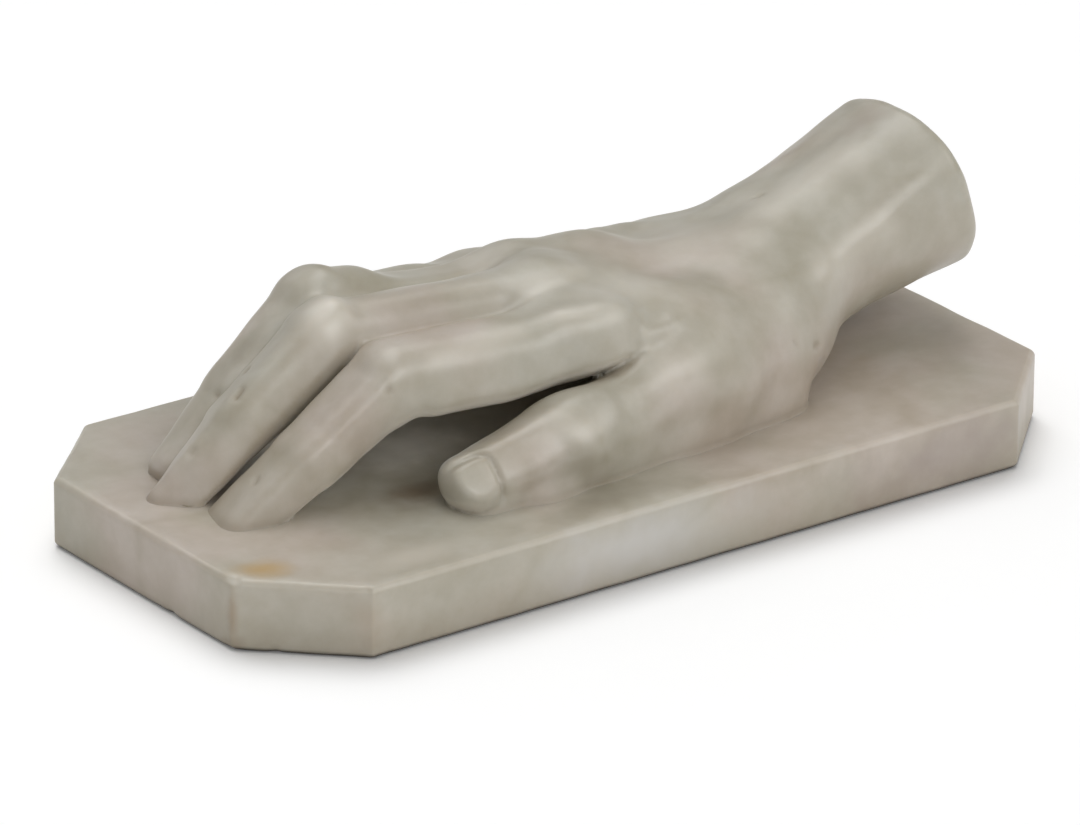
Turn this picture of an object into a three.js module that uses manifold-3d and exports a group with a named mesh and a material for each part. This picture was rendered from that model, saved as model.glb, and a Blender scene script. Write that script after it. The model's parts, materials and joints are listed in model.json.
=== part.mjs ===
// A life-size marble hand, palm down, pinned and bedded on a marble plinth with canted corners.
// Millimetres, +Z up. The origin is the centre of the plinth's underside, +X runs from the
// fingertips to the wrist and the thumb lies on the -Y side.

import * as THREE from 'three';
import { mergeVertices } from 'three/addons/utils/BufferGeometryUtils.js';
import Module from 'manifold-3d';

const wasm = await Module();
wasm.setup();

// Plinth: a flat slab with its four corners cut off and its edges eased.
const PLINTH_LENGTH = 240;
const PLINTH_WIDTH = 120;
const PLINTH_THICKNESS = 18;
const CORNER_CUT_LENGTH = 24;
const CORNER_CUT_WIDTH = 23;
const EDGE_EASE = 1.2;

// Fixing: a thin resin bed under each place where the hand bears, and two blind steel dowels.
const BED_THICKNESS = 0.5;
const TIP_BED_LENGTH = 9;
const TIP_BED_WIDTH = 10;
const TIP_BED_SETBACK = 2;
const HEEL_BED_LENGTH = 28;
const HEEL_BED_LAND = 2.5;
const THUMB_BED_LENGTH = 68;
const THUMB_BED_LAND = 3.5;
const OUTER_PALM_BED_LENGTH = 32;
const OUTER_PALM_BED_WIDTH = 10;
const DOWEL_DIAMETER = 8;
const DOWEL_CLEARANCE = 0.3;
const DOWEL_CHAMFER = 0.8;
const DOWEL_IN_HAND = 12;
const MARBLE_UNDER_DOWEL = 7;

// Every joint of the hand is a place along X and Y, a height above the plinth's top, and the half
// width and half thickness of the limb there.
const joint = (x, y, height, halfWidth, halfThickness) => ({
  at: new THREE.Vector3(x, y, height),
  halfWidth,
  halfThickness,
});

// Each finger starts inside the wrist and runs over its knuckle to a tip that the bed cuts off flat.
const FINGERS = {
  index: [
    joint(50, -8, 21.6, 11, 10.5),
    joint(-6, -20, 27.2, 10.8, 9.4),
    joint(-56, -12.5, 26.8, 10, 9.2),
    joint(-79, -10.6, 12.4, 9.2, 6.8),
    joint(-97.5, -7.8, -0.6, 7.9, 4.7),
  ],
  middle: [
    joint(52, 2, 21.8, 11, 11),
    joint(-5, 0, 28.6, 10.4, 10.4),
    joint(-62, 7, 31, 9.9, 9.4),
    joint(-85, 7.4, 15.8, 9, 7.2),
    joint(-103.2, 7.2, 0.6, 7.4, 5.2),
  ],
  ring: [
    joint(52, 11, 20.3, 11, 11),
    joint(-4, 19.5, 24.2, 10, 9.6),
    joint(-54.5, 24, 31.8, 9.4, 9.2),
    joint(-75.5, 22.5, 15.7, 8.6, 7.2),
    joint(-94, 21.5, 1.6, 7.2, 5),
  ],
  little: [
    joint(50, 20, 16.4, 11, 11),
    joint(3, 37, 18.6, 9.4, 9.2),
    joint(-35, 40, 21, 8.5, 8.1),
    joint(-53, 38.5, 12, 7.5, 6.4),
    joint(-68, 37, 0.8, 6.2, 4.6),
  ],
};
const FINGER_DORSALS = {
  index: new THREE.Vector3(0, 0.05, 1),
  middle: new THREE.Vector3(0, 0.25, 1),
  ring: new THREE.Vector3(0, 0.15, 1),
  little: new THREE.Vector3(0, 0.3, 1),
};

// The thumb lies on its side, so its width stands nearly upright.
const THUMB = [
  joint(52, -14, 15, 15, 13),
  joint(22, -25.2, 16, 13.8, 12.3),
  joint(-18, -33.3, 9.8, 10.1, 9.8),
];
const THUMB_TIP = joint(-48, -34.2, 6.6, 6.3, 8.3);
const THUMB_DORSAL = new THREE.Vector3(-0.12, -0.88, 0.46);
const THUMB_TIP_DORSAL = new THREE.Vector3(0, -1, 0.2);

// Marble left standing under the thumb, so that its side runs down to the bed.
const SKIRT = [
  joint(39, -19.5, 0, 17, 7),
  joint(15, -26, 0, 13, 10),
  joint(-8, -29.5, 0, 10.8, 8),
  joint(-31, -34, 0, 9, 5),
  joint(-46, -34.3, 0, 7.4, 4),
];

// The muscles of the palm, and the wrist that they run into.
const THENAR = [joint(44, -18, 12, 15, 14), joint(28, -22, 12, 14, 13)];
const HYPOTHENAR = [joint(48, 22, 11, 13, 13), joint(12, 36, 9, 12, 11)];
const HEEL = [joint(52, -10, 13, 13, 14), joint(50, 22, 11.5, 13, 13)];
const WRIST = [joint(52, 6, 17.2, 26, 15.3), joint(66, 5, 18.6, 24.5, 16.7)];

// The hollow under the palm, open at the front between the fingers and the thumb.
const HOLLOW = [joint(-20, 4.2, 0, 16, 11), joint(22, 4.2, 0, 16, 11)];

// The forearm swells as it rises and is sawn off square to its own slope.
const FOREARM_AXIS = new THREE.Vector3(47, -1, 15.6).normalize();
const FOREARM_DORSAL = new THREE.Vector3(0, 0.2, 1);
const FOREARM_LENGTH = 90;
const FOREARM_END = {
  at: WRIST[1].at.clone().addScaledVector(FOREARM_AXIS, FOREARM_LENGTH),
  halfWidth: 27,
  halfThickness: 28,
};
const STUB_LENGTH = 48.9;

// Broad swells and dips of the back of the hand: a line along each, how wide it is and how high.
const RELIEF = [
  { from: new THREE.Vector3(6, 18, 36), to: new THREE.Vector3(26, 17, 36), radius: 9, rise: 3.6 },
  { from: new THREE.Vector3(38, 15, 36), to: new THREE.Vector3(50, 11, 38), radius: 8, rise: -3.4 },
  { from: new THREE.Vector3(-30, 23, 38.5), to: new THREE.Vector3(-9, 20, 38), radius: 8, rise: -2.2 },
];

// How square the limbs' sections are: 2 is an ellipse, and more is nearer to a rounded box.
const PALM_POWER = 2;
const FINGER_POWER = 2.3;
const FINGERTIP_POWER = 3.1;
const FOREARM_POWER = 2.35;
const THUMB_POWER = 2.3;
const THUMB_TIP_POWER = 2.5;
const SKIRT_POWER = 3;
const HOLLOW_POWER = 6;

// How far apart two skins start to flow into each other.
const METACARPAL_REACH = 10;
const MUSCLE_REACH = 12;
const FOREARM_REACH = 8;
const FINGER_REACH = 2;
const KNUCKLE_REACH = 3;
const ROOT_REACH = 7;
const THUMB_REACH = 5;
const SKIRT_REACH = 6;
const THUMB_JOIN_REACH = 4;
const HOLLOW_REACH = 4;

// Between two fingers, and between thumb and palm, that reach grows along X towards the roots.
const WEBS = {
  middle: { free: 3, freeX: -75, root: 7, rootX: -35 },
  ring: { free: 4, freeX: -75, root: 4, rootX: -35 },
  little: { free: 4, freeX: -75, root: 4, rootX: -35 },
  thumb: { free: 4, freeX: -8, root: 12, rootX: 26 },
};

const UP = new THREE.Vector3(0, 0, 1);
const HOLE_RADIUS = DOWEL_DIAMETER / 2 + DOWEL_CLEARANCE;
const middleOf = ([start, end]) => start.at.clone().lerp(end.at, 0.5);
const heading = ([start, end]) => Math.atan2(end.at.y - start.at.y, end.at.x - start.at.x);
const DOWEL_PLACES = { heel: middleOf(HEEL), thumb: SKIRT[2].at };

const DOWEL_SIDES = 24;
const BED_SEGMENTS = 12;
const SKIN_EDGE = 4.3;
const SKIN_TOLERANCE = 0.2;
const SKIN_LEVEL = 0;
const SKIN_ERROR = 0.05;
const SMALLEST_EDGE = 0.05;
const SKIN_BOUNDS = {
  min: [-PLINTH_LENGTH / 2, -PLINTH_WIDTH / 2, -SKIN_EDGE],
  max: [PLINTH_LENGTH / 2 + SKIN_EDGE, PLINTH_WIDTH / 2, PLINTH_WIDTH / 2 + SKIN_EDGE],
};

const marble = new THREE.MeshStandardMaterial({ color: 0xb3ab9c, roughness: 0.42, metalness: 0 });
const steel = new THREE.MeshStandardMaterial({ color: 0x9a9c9e, roughness: 0.35, metalness: 1 });
const resin = new THREE.MeshStandardMaterial({ color: 0xa89f8c, roughness: 0.5, metalness: 0 });

// A closed solid from a geometry, and a geometry from a solid.
function solidFrom(geometry) {
  const bare = geometry.index ? geometry.toNonIndexed() : geometry.clone();
  bare.deleteAttribute('normal');
  bare.deleteAttribute('uv');
  const merged = mergeVertices(bare, 1e-5);
  const mesh = new wasm.Mesh({
    numProp: 3,
    vertProperties: new Float32Array(merged.attributes.position.array),
    triVerts: new Uint32Array(merged.index.array),
  });
  return new wasm.Manifold(mesh);
}

function geometryFrom(solid) {
  const mesh = solid.getMesh();
  const geometry = new THREE.BufferGeometry();
  geometry.setAttribute('position', new THREE.BufferAttribute(mesh.vertProperties, 3));
  geometry.setIndex(new THREE.BufferAttribute(mesh.triVerts, 1));
  geometry.computeVertexNormals();
  return geometry;
}

// The distances below are in millimetres and negative inside the marble.

// The lower of two distances, less a fillet where they are within reach of each other.
function smoothUnion(first, second, reach) {
  const overlap = Math.max(reach - Math.abs(first - second), 0);
  return Math.min(first, second) - overlap ** 2 / (4 * reach);
}

// A body less a tool, with a fillet along the cut.
function smoothCut(body, tool, reach) {
  return -smoothUnion(-body, tool, reach);
}

// The distance to a tapered limb with rounded ends. Its skin is where the powers of the shares of
// its half width, half thickness and cap add up to 1, and the slope of that sum gives millimetres.
function limb(start, end, dorsal, power) {
  const axis = end.at.clone().sub(start.at);
  const length = axis.length();
  axis.divideScalar(length);
  const over = dorsal.clone().addScaledVector(axis, -dorsal.dot(axis)).normalize();
  const across = over.clone().cross(axis);
  return (point) => {
    const offset = point.clone().sub(start.at);
    const along = offset.dot(axis);
    const share = THREE.MathUtils.clamp(along / length, 0, 1);
    const width = THREE.MathUtils.lerp(start.halfWidth, end.halfWidth, share);
    const thickness = THREE.MathUtils.lerp(start.halfThickness, end.halfThickness, share);
    const sizes = [width, thickness, (width + thickness) / 2];
    const spans = [offset.dot(across), offset.dot(over), along - share * length];
    const shares = spans.map((span, side) => Math.abs(span) / sizes[side]);
    const sum = shares.reduce((total, part) => total + part ** power, 0);
    const level = Math.max(sum ** (1 / power), Number.EPSILON);
    const slope = Math.hypot(...shares.map((part, side) => (part / level) ** (power - 1) / sizes[side]));
    return (level - 1) / Math.max(slope, Number.EPSILON);
  };
}

// Several distances as one, each flowing into those before it.
function blended(distances, reach) {
  return (point) => distances
    .map((distance) => distance(point))
    .reduce((whole, next) => smoothUnion(whole, next, reach));
}

// Limbs end to end through a row of joints.
function chain(joints, dorsal, power, reach) {
  return blended(joints.slice(1).map((end, place) => limb(joints[place], end, dorsal, power)), reach);
}

// A finger beyond its metacarpal: one plain phalanx to the knuckle and two flatter ones to the tip.
function fingerDistance(name) {
  const joints = FINGERS[name];
  const dorsal = FINGER_DORSALS[name];
  const phalanx = limb(joints[1], joints[2], dorsal, FINGER_POWER);
  const end = chain(joints.slice(2), dorsal, FINGERTIP_POWER, FINGER_REACH);
  return blended([phalanx, end], KNUCKLE_REACH);
}

function webReach({ free, freeX, root, rootX }, x) {
  return THREE.MathUtils.lerp(free, root, THREE.MathUtils.smoothstep(x, freeX, rootX));
}

function thumbDistance() {
  const shaft = chain(THUMB, THUMB_DORSAL, THUMB_POWER, THUMB_REACH);
  const tip = limb(THUMB.at(-1), THUMB_TIP, THUMB_TIP_DORSAL, THUMB_TIP_POWER);
  const skirt = chain(SKIRT, UP, SKIRT_POWER, SKIRT_REACH);
  return blended([shaft, tip, skirt], THUMB_JOIN_REACH);
}

// A swell: 1 on its line, falling off as exp(-(distance / radius) ** 2).
function swell({ from, to, radius }, point) {
  const nearest = new THREE.Line3(from, to).closestPointToPoint(point, true, new THREE.Vector3());
  return Math.exp(-nearest.distanceToSquared(point) / radius ** 2);
}

function handDistance() {
  const names = Object.keys(FINGERS);
  const metacarpals = names.map((name) => limb(FINGERS[name][0], FINGERS[name][1], UP, PALM_POWER));
  const back = blended(metacarpals, METACARPAL_REACH);
  const muscles = [THENAR, HYPOTHENAR, HEEL, WRIST].map(([start, end]) => limb(start, end, UP, PALM_POWER));
  const palm = blended([back, ...muscles], MUSCLE_REACH);
  const forearm = limb(WRIST[1], FOREARM_END, FOREARM_DORSAL, FOREARM_POWER);
  const fingers = names.map(fingerDistance);
  const thumb = thumbDistance();
  const hollow = limb(HOLLOW[0], HOLLOW[1], UP, HOLLOW_POWER);
  return (point) => {
    let whole = smoothUnion(palm(point), forearm(point), FOREARM_REACH);
    const row = fingers
      .map((finger) => finger(point))
      .reduce((nearer, next, place) => smoothUnion(nearer, next, webReach(WEBS[names[place]], point.x)));
    whole = smoothUnion(whole, row, ROOT_REACH);
    whole = smoothUnion(whole, thumb(point), webReach(WEBS.thumb, point.x));
    whole = smoothCut(whole, hollow(point), HOLLOW_REACH);
    return RELIEF.reduce((skin, line) => skin - line.rise * swell(line, point), whole);
  };
}

// A box from one low corner to one high corner.
function boxBetween(low, high) {
  const geometry = new THREE.BoxGeometry(high.x - low.x, high.y - low.y, high.z - low.z);
  geometry.translate((low.x + high.x) / 2, (low.y + high.y) / 2, (low.z + high.z) / 2);
  return solidFrom(geometry);
}

// A drilled hole, standing on Z between two heights.
function drilledHole(place, bottom, top) {
  const geometry = new THREE.CylinderGeometry(HOLE_RADIUS, HOLE_RADIUS, top - bottom, DOWEL_SIDES);
  geometry.rotateX(Math.PI / 2);
  geometry.translate(place.x, place.y, (bottom + top) / 2);
  return solidFrom(geometry);
}

// The slab is drawn inside its eased edges, which the bevel then grows back to full size.
function plinth() {
  const cut = Math.hypot(CORNER_CUT_LENGTH, CORNER_CUT_WIDTH);
  const cutInsetX = (EDGE_EASE * (cut - CORNER_CUT_LENGTH)) / CORNER_CUT_WIDTH;
  const cutInsetY = (EDGE_EASE * (cut - CORNER_CUT_WIDTH)) / CORNER_CUT_LENGTH;
  const halfLength = PLINTH_LENGTH / 2 - EDGE_EASE;
  const halfWidth = PLINTH_WIDTH / 2 - EDGE_EASE;
  const cutLength = PLINTH_LENGTH / 2 - CORNER_CUT_LENGTH - cutInsetX;
  const cutWidth = PLINTH_WIDTH / 2 - CORNER_CUT_WIDTH - cutInsetY;
  const outline = new THREE.Shape([
    new THREE.Vector2(halfLength, -cutWidth),
    new THREE.Vector2(halfLength, cutWidth),
    new THREE.Vector2(cutLength, halfWidth),
    new THREE.Vector2(-cutLength, halfWidth),
    new THREE.Vector2(-halfLength, cutWidth),
    new THREE.Vector2(-halfLength, -cutWidth),
    new THREE.Vector2(-cutLength, -halfWidth),
    new THREE.Vector2(cutLength, -halfWidth),
  ]);
  const slab = new THREE.ExtrudeGeometry(outline, {
    depth: PLINTH_THICKNESS - 2 * EDGE_EASE,
    bevelThickness: EDGE_EASE,
    bevelSize: EDGE_EASE,
    bevelSegments: 2,
  });
  slab.translate(0, 0, EDGE_EASE);
  const holeTop = PLINTH_THICKNESS + DOWEL_DIAMETER;
  let solid = solidFrom(slab);
  for (const place of Object.values(DOWEL_PLACES)) {
    solid = solid.subtract(drilledHole(place, MARBLE_UNDER_DOWEL, holeTop));
  }
  return geometryFrom(solid);
}

// The hand's skin is where the distance is zero, cut off flat on the bed, sawn off at the stub and
// drilled for the dowels.
function hand() {
  const distance = handDistance();
  const inside = (place) => -distance(new THREE.Vector3(...place));
  const rough = wasm.Manifold.levelSet(inside, SKIN_BOUNDS, SKIN_EDGE, SKIN_LEVEL, SKIN_ERROR);
  const skin = rough.simplify(SKIN_TOLERANCE);
  const reach = PLINTH_LENGTH + PLINTH_WIDTH;
  const low = new THREE.Vector3(-reach, -reach, BED_THICKNESS);
  const high = new THREE.Vector3(reach, reach, reach);
  const stubEnd = WRIST[1].at.dot(FOREARM_AXIS) + STUB_LENGTH;
  const stubSide = FOREARM_AXIS.clone().negate().toArray();
  let solid = skin.intersect(boxBetween(low, high)).trimByPlane(stubSide, -stubEnd);
  const holeTop = BED_THICKNESS + DOWEL_IN_HAND + DOWEL_CLEARANCE;
  for (const place of Object.values(DOWEL_PLACES)) {
    solid = solid.subtract(drilledHole(place, -DOWEL_DIAMETER, holeTop));
  }
  return geometryFrom(solid.simplify(SMALLEST_EDGE));
}

// A straight pin with a chamfer at each end, from the floor of its hole to just short of the top.
function dowel() {
  const radius = DOWEL_DIAMETER / 2;
  const bottom = MARBLE_UNDER_DOWEL + DOWEL_CLEARANCE;
  const top = PLINTH_THICKNESS + BED_THICKNESS + DOWEL_IN_HAND;
  const profile = [
    new THREE.Vector2(0, bottom),
    new THREE.Vector2(radius - DOWEL_CHAMFER, bottom),
    new THREE.Vector2(radius, bottom + DOWEL_CHAMFER),
    new THREE.Vector2(radius, top - DOWEL_CHAMFER),
    new THREE.Vector2(radius - DOWEL_CHAMFER, top),
    new THREE.Vector2(0, top),
  ];
  return new THREE.LatheGeometry(profile, DOWEL_SIDES).rotateX(Math.PI / 2);
}

// An oval bed centred on one bearing place, drilled where a dowel passes through it.
function ovalBed(length, width, drilled) {
  const outline = new THREE.Shape();
  outline.absellipse(0, 0, length / 2, width / 2, 0, 2 * Math.PI);
  if (drilled) {
    const hole = new THREE.Path();
    hole.absarc(0, 0, HOLE_RADIUS, 0, 2 * Math.PI, true);
    outline.holes.push(hole);
  }
  const options = { depth: BED_THICKNESS, bevelEnabled: false, curveSegments: BED_SEGMENTS };
  return new THREE.ExtrudeGeometry(outline, options);
}

const part = new THREE.Group();
const onPlinth = new THREE.Group();
onPlinth.position.z = PLINTH_THICKNESS;
part.add(onPlinth);

function place(group, name, geometry, material, at = new THREE.Vector3(), turn = 0) {
  const mesh = new THREE.Mesh(geometry, material);
  mesh.name = name;
  mesh.position.set(at.x, at.y, 0);
  mesh.rotation.z = turn;
  group.add(mesh);
}

place(part, 'plinth', plinth(), marble);
place(onPlinth, 'hand', hand(), marble);
for (const [bearing, at] of Object.entries(DOWEL_PLACES)) {
  place(part, `dowel_${bearing}`, dowel(), steel, at);
}

// The long beds lie along the heel, the thumb and the outer edge of the palm.
const heelBed = ovalBed(HEEL_BED_LENGTH, 2 * (HOLE_RADIUS + HEEL_BED_LAND), true);
const thumbBed = ovalBed(THUMB_BED_LENGTH, 2 * (HOLE_RADIUS + THUMB_BED_LAND), true);
const outerPalmBed = ovalBed(OUTER_PALM_BED_LENGTH, OUTER_PALM_BED_WIDTH, false);
place(onPlinth, 'resin_bed_heel', heelBed, resin, DOWEL_PLACES.heel, heading(HEEL));
place(onPlinth, 'resin_bed_thumb', thumbBed, resin, DOWEL_PLACES.thumb, heading([SKIRT[1], SKIRT[3]]));
place(onPlinth, 'resin_bed_outer_palm', outerPalmBed, resin, middleOf(HYPOTHENAR), heading(HYPOTHENAR));
for (const [finger, joints] of Object.entries(FINGERS)) {
  const tipBed = ovalBed(TIP_BED_LENGTH, TIP_BED_WIDTH, false);
  const at = joints.at(-1).at.clone();
  at.x += TIP_BED_SETBACK;
  place(onPlinth, `resin_bed_${finger}`, tipBed, resin, at);
}

export default part;
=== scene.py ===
import json
import math

import bmesh
import bpy
import numpy as np
from mathutils import Matrix, Vector

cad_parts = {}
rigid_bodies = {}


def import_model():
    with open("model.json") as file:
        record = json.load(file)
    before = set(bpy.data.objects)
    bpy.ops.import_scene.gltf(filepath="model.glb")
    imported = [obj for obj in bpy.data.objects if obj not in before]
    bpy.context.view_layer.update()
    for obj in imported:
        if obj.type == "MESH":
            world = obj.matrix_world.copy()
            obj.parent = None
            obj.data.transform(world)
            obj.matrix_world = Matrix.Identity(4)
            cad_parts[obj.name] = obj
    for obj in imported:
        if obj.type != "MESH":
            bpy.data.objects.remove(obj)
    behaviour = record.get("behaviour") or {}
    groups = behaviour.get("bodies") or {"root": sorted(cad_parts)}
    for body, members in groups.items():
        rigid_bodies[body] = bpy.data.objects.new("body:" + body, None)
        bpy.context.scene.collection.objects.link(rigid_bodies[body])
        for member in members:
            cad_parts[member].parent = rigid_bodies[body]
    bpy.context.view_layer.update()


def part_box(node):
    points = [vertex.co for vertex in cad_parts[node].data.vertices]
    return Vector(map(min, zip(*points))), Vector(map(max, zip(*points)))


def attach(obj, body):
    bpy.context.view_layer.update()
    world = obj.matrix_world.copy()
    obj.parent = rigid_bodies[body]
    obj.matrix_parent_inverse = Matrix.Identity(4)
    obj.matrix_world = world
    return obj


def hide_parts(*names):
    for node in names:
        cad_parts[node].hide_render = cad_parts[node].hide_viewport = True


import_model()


# Plinth: a sawn slab of pale grey-beige marble with its four corners canted. The faces are
# rubbed to a satin finish, and the edges are eased by hand, so they wander a little and carry
# a few chips. It stands loose on the table and carries the hand.

MM = 0.001
plinth_low, plinth_high = (np.array(corner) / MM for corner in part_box("plinth"))
PLINTH_TOP = plinth_high[2]
CANT_LENGTH = 24.0
CANT_WIDTH = 23.0
EDGE_EASE = 1.5
CORNER_EASE = 1.4
CORNER_POINTS = 5
RUN_POINTS = 90
EDGE_RINGS = 6
SIDE_RINGS = 14
TOP_RINGS = 24
UNDER_RINGS = 5


def canted_outline(inset):
    """The plinth's outline, drawn in by inset: eight straight runs joined by small arcs. Each arc
    is centred on a corner of the octagon that lies CORNER_EASE further in."""
    half_length, half_width = plinth_high[:2]
    deep = inset + CORNER_EASE
    slant = math.hypot(CANT_LENGTH, CANT_WIDTH)
    along = half_length - CANT_LENGTH - deep * (slant - CANT_LENGTH) / CANT_WIDTH
    across = half_width - CANT_WIDTH - deep * (slant - CANT_WIDTH) / CANT_LENGTH
    x = np.array([1, 0, 0, -1, -1, 0, 0, 1]) * (half_length - deep)
    x = x + np.array([0, 1, -1, 0, 0, -1, 1, 0]) * along
    y = np.array([0, 1, 1, 0, 0, -1, -1, 0]) * (half_width - deep)
    y = y + np.array([1, 0, 0, 1, -1, 0, 0, -1]) * across
    centres = np.stack([x, y], -1)
    tilt = math.atan2(CANT_LENGTH, CANT_WIDTH)
    facing = np.array([0, tilt, math.pi / 2, math.pi - tilt])
    facing = np.concatenate([facing, facing + math.pi])
    turn = np.diff(np.append(facing, 2 * math.pi))
    share = np.linspace(0, 1, CORNER_POINTS)
    angle = facing[:, None] + turn[:, None] * share
    arcs = centres[:, None] + CORNER_EASE * np.stack([np.cos(angle), np.sin(angle)], -1)
    step = np.linspace(0, 1, RUN_POINTS)[1:-1, None]
    runs = arcs[:, -1, None] * (1 - step) + np.roll(arcs, -1, 0)[:, :1] * step
    return np.concatenate([arcs, runs], 1).reshape(-1, 2)


def plinth_skin():
    """Rings carried round the outline: in the middle of the top they shrink to a line, then they
    follow the top face, a quarter round, the side, a quarter round and the underside. The last
    array is 1 halfway round an eased edge and 0 off it, by the sine of twice the bend."""
    bend = np.linspace(0, math.pi / 2, EDGE_RINGS)
    rise = PLINTH_TOP - 2 * EDGE_EASE
    rings = [(EDGE_EASE * (1 - math.sin(a)), PLINTH_TOP - EDGE_EASE * (1 - math.cos(a)))
             for a in bend]
    rings += [(0.0, EDGE_EASE + rise * share) for share in np.linspace(1, 0, SIDE_RINGS)[1:-1]]
    rings += [(EDGE_EASE * (1 - math.cos(a)), EDGE_EASE * (1 - math.sin(a))) for a in bend]
    sides = []
    for inset, height in rings:
        outline = canted_outline(inset)
        sides.append(np.column_stack([outline, np.full(len(outline), height)]))
    spine = sides[0] * (1, 0, 1)
    spine[:, 0] = np.clip(spine[:, 0], plinth_low[0] / 2, plinth_high[0] / 2)
    top = [spine + (sides[0] - spine) * share for share in np.linspace(0, 1, TOP_RINGS)[:-1]]
    bottom = [sides[-1] + (spine * (1, 1, 0) - sides[-1]) * share
              for share in np.linspace(0, 1, UNDER_RINGS)[1:]]
    grid = np.array(top + sides + bottom)
    count = len(grid[0])
    index = np.arange(len(grid) * count).reshape(len(grid), count)
    ahead = np.roll(index, -1, 1)
    faces = np.stack([index[:-1], index[1:], ahead[1:], ahead[:-1]], -1)
    near_edge = np.zeros(grid.shape[:2])
    near_edge[len(top):len(top) + len(bend)] = np.sin(2 * bend)[:, None]
    near_edge[-len(bottom) - len(bend):-len(bottom)] = np.sin(2 * bend)[:, None]
    return grid.reshape(-1, 3), faces.reshape(-1, 4), near_edge.ravel()


def eased(place, start, end, first, last):
    """A value that goes from first to last on an S curve, as place goes from start to end."""
    share = np.clip((place - start) / (end - start), 0, 1)
    return first + (last - first) * share ** 2 * (3 - 2 * share)


# Each chip is a middle, a radius and a depth in millimetres.
CHIPS = (
    ((-119, -36.5, 17.5), 1.5, 0.7),   # upper edge, where the end meets the front cant
    ((-117, -15, 17.6), 1.1, 0.4),     # upper edge of the fingertip end
    ((-118.5, 8, 17.8), 1.0, 0.35),    # the same edge, further back
    ((-97, -59, 17.6), 1.2, 0.4),      # upper edge, where the cant meets the front
    ((-84, -59.6, 17.7), 1.2, 0.3),    # upper edge of the front
    ((-118.2, -35.8, 0.3), 1.6, 0.8),  # foot, where the end meets the cant
    ((-112, -43.1, 0.3), 1.4, 0.7),    # foot of the cant
    ((-92, -60, 0.3), 1.4, 0.6),       # foot of the front, by the cant
    ((-89.9, -60, 13.6), 0.9, 0.5),    # in the front face, by the cant
    ((-119.8, -12, 0.3), 1.5, 0.6),    # foot of the fingertip end
)
EDGE_WANDER = 0.12
EDGE_DROP = 0.5
WELD = 0.001
slab, slab_faces, near_edge = plinth_skin()
x, y, z = slab.T
wander = np.sin(x / 7.3 + y / 5.1) + np.sin(x / 2.9 - y / 3.7 + 2)
wander = wander + np.sin(x / 1.7 + y / 2.3 + z) / 2
worn = EDGE_WANDER * near_edge * (1 + wander / 2)
for middle, radius, depth in CHIPS:
    worn = worn + depth * np.exp(-((slab - np.array(middle)) ** 2).sum(-1) / radius ** 2)
inward = -slab * (1, 1, 0) / np.maximum(np.linalg.norm(slab[:, :2], axis=1), 1)[:, None]
upper = slab[:, 2:] > PLINTH_TOP / 2
slab = slab + (inward + (0, 0, -EDGE_DROP) * upper) * worn[:, None]


def linear(colour):
    """An sRGB hex colour as linear RGBA: below 0.04045 divided by 12.92, above it the 2.4 power."""
    shares = np.array([int(colour[place:place + 2], 16) / 255 for place in (1, 3, 5)])
    straight = shares / 12.92
    curved = ((shares + 0.055) / 1.055) ** 2.4
    return (*np.where(shares <= 0.04045, straight, curved), 1.0)


def per(size):
    """The texture scale that repeats a pattern about once every size millimetres."""
    return 1.0 / (size * MM)


def add(tree, kind, inputs, stops=(), **settings):
    """Adds a node of that kind, sets its properties, links or sets its inputs, and puts
    (place, hex colour) stops on its colour ramp."""
    made = tree.nodes.new("ShaderNode" + kind)
    for name, value in settings.items():
        setattr(made, name, value)
    for socket, value in inputs.items():
        if isinstance(value, bpy.types.NodeSocket):
            tree.links.new(value, made.inputs[socket])
        else:
            made.inputs[socket].default_value = value
    for number, (place, colour) in enumerate(stops):
        elements = made.color_ramp.elements
        element = elements[number] if number < len(elements) else elements.new(place)
        element.position = place
        element.color = linear(colour)
    return made


# Sizes of the marble's patterns in millimetres. Its real grains are well under a millimetre, and
# are drawn as 3.5 mm specks, because finer ones would not show.
CLOUDS = 46
MOTTLE = 13
SMOKE = 75
GRAIN = 3.5
FRAY = 1.2
HOLLOW_DULLS = 0.8
GLOW_DEPTH = 3
PITTING = 0.15


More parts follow.
